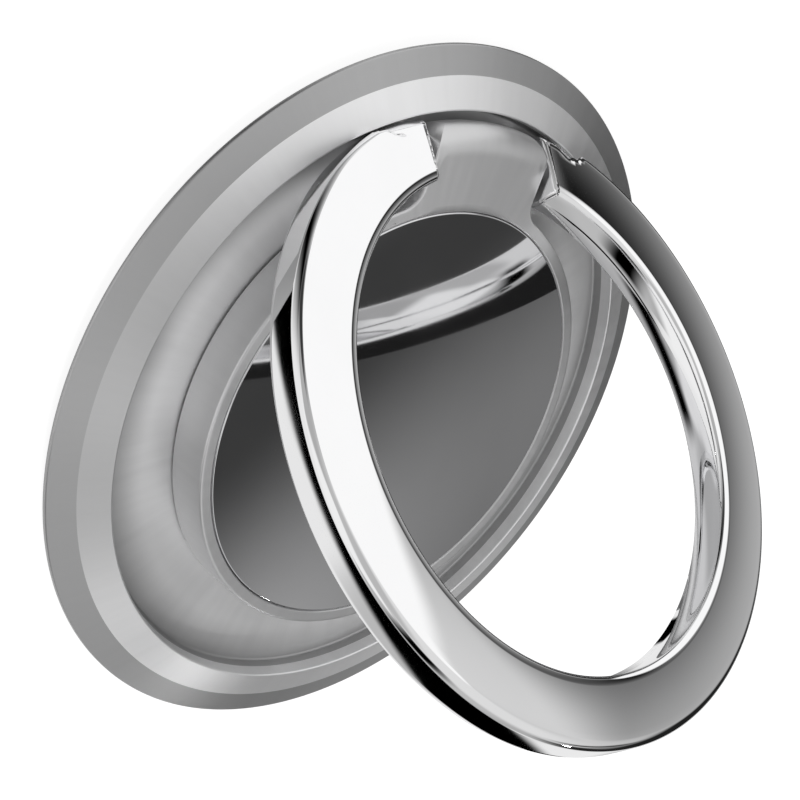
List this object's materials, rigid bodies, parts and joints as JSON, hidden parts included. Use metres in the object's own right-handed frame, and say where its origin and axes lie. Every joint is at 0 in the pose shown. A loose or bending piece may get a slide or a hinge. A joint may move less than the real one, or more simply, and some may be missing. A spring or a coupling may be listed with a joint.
{
  "type": "phone ring holder",
  "caption": "Round stick-on phone holder: a dished metal plate with a turning hub, polished round inlay and a hinged chrome finger ring standing open.",
  "frame": {"origin": "centre of the adhesive pad's back face, which lies on the surface it is stuck to", "axes": "+Z out of the front of the plate, along the hub's turning axis; +Y towards the ring's hinge lug; +X along the hinge pin"},
  "size_m": [0.04, 0.04, 0.025],
  "materials": {
    "foam_pad": "matt foam tape",
    "satin_plate": "satin plated",
    "satin_hub": "satin plated",
    "polished_inlay": "mirror polished",
    "ring_chrome": "mirror polished",
    "plain_steel": "bright drawn",
    "glide_plastic": "natural",
    "glue_film": "clear film"
  },
  "bodies": {
    "base": {"adhesive_pad": "foam_pad", "base_plate": "satin_plate", "pivot_rivet": "plain_steel", "glide_washer": "glide_plastic", "disc_spring": "plain_steel", "thrust_washer": "plain_steel"},
    "hub": {"hub": "satin_hub", "inlay_glue": "glue_film", "mirror_inlay": "polished_inlay", "hinge_pin": "plain_steel", "hinge_washer_left": "plain_steel", "hinge_washer_right": "plain_steel"},
    "ring": {"finger_ring": "ring_chrome"}
  },
  "joints": [
    {"name": "hub_spin", "type": "hinge", "parent": "base", "child": "hub", "pos_m": [0, 0, 0.00244], "axis": [0, 0, 1], "continuous": true},
    {"name": "ring_flip", "type": "hinge", "parent": "hub", "child": "ring", "pos_m": [0, 0.0143, 0.00234], "axis": [-1, 0, 0], "range_deg": [-45, 35]}
  ]
}
